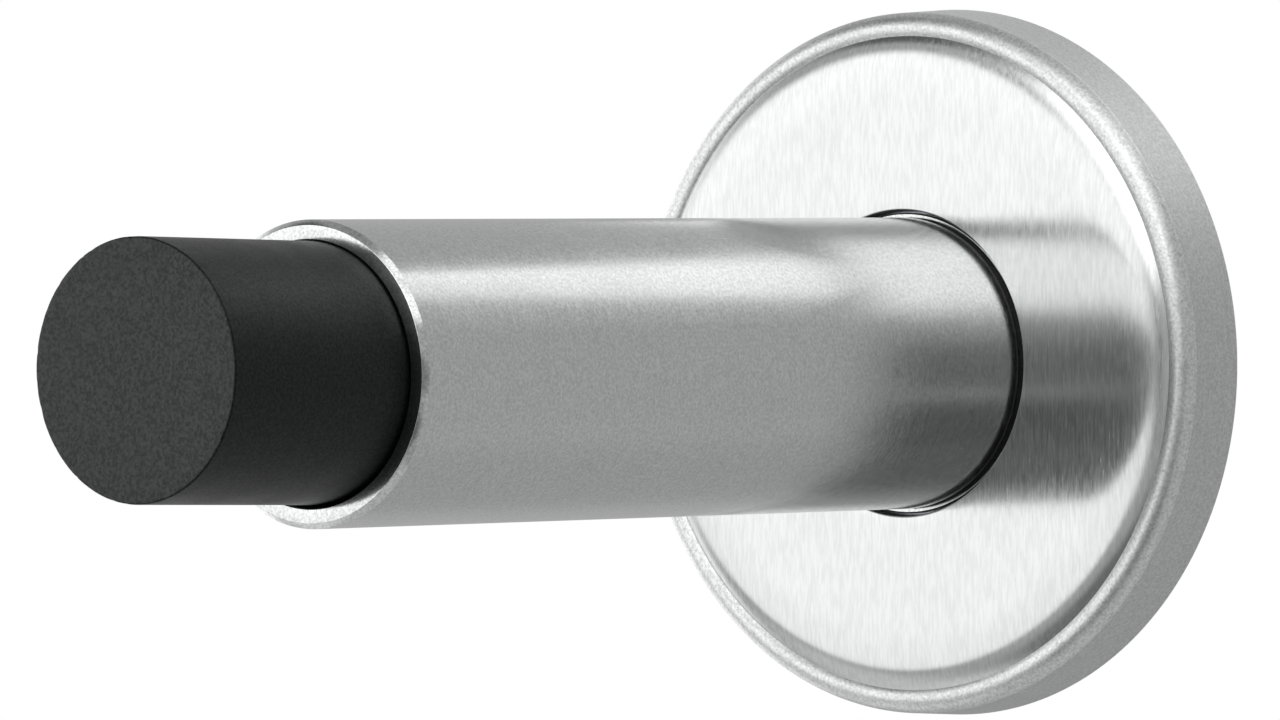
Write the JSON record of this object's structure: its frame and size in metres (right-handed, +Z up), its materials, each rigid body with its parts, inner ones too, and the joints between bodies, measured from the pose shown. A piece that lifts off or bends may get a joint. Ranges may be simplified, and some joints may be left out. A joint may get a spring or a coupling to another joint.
{
  "type": "wall door stop",
  "caption": "Wall-mounted door stop: a level steel tube with a rubber buffer in its free end, on a screwed base plate that a round push-on cover rose hides.",
  "frame": {"origin": "centre of the stop on the wall plane, where the tube's axis meets the wall", "axes": "-Y along the tube, out of the wall towards the buffer; +Z up; +X to the right when facing the wall"},
  "size_m": [0.0536, 0.093, 0.0536],
  "materials": {
    "satin_steel": "satin, grain round the tube",
    "rose_steel": "brushed upright on the face",
    "rubber": "matte moulded",
    "nylon": "moulded",
    "turned_steel": "turned",
    "zinc_plate": "pressed and zinc plated",
    "screw_steel": "zinc plated",
    "spring_steel": "bright spring steel",
    "rivet_aluminium": "as formed"
  },
  "bodies": {
    "base": {"base_plate": "zinc_plate", "stop_tube": "satin_steel", "tube_spigot": "turned_steel", "spigot_screw": "screw_steel", "lock_washer": "spring_steel", "buffer_seat": "nylon", "rose_clip_1": "spring_steel", "rose_clip_2": "spring_steel", "rose_clip_3": "spring_steel", "clip_rivet_1": "rivet_aluminium", "clip_rivet_2": "rivet_aluminium", "clip_rivet_3": "rivet_aluminium"},
    "rose": {"cover_rose": "rose_steel"},
    "buffer": {"rubber_buffer": "rubber"}
  },
  "joints": [
    {"name": "rose_slide", "type": "slide", "parent": "base", "child": "rose", "axis": [0, -1, 0], "range_m": [0, 0.105]},
    {"name": "buffer_pull", "type": "slide", "parent": "base", "child": "buffer", "axis": [0, -1, 0], "range_m": [0, 0.035]}
  ]
}
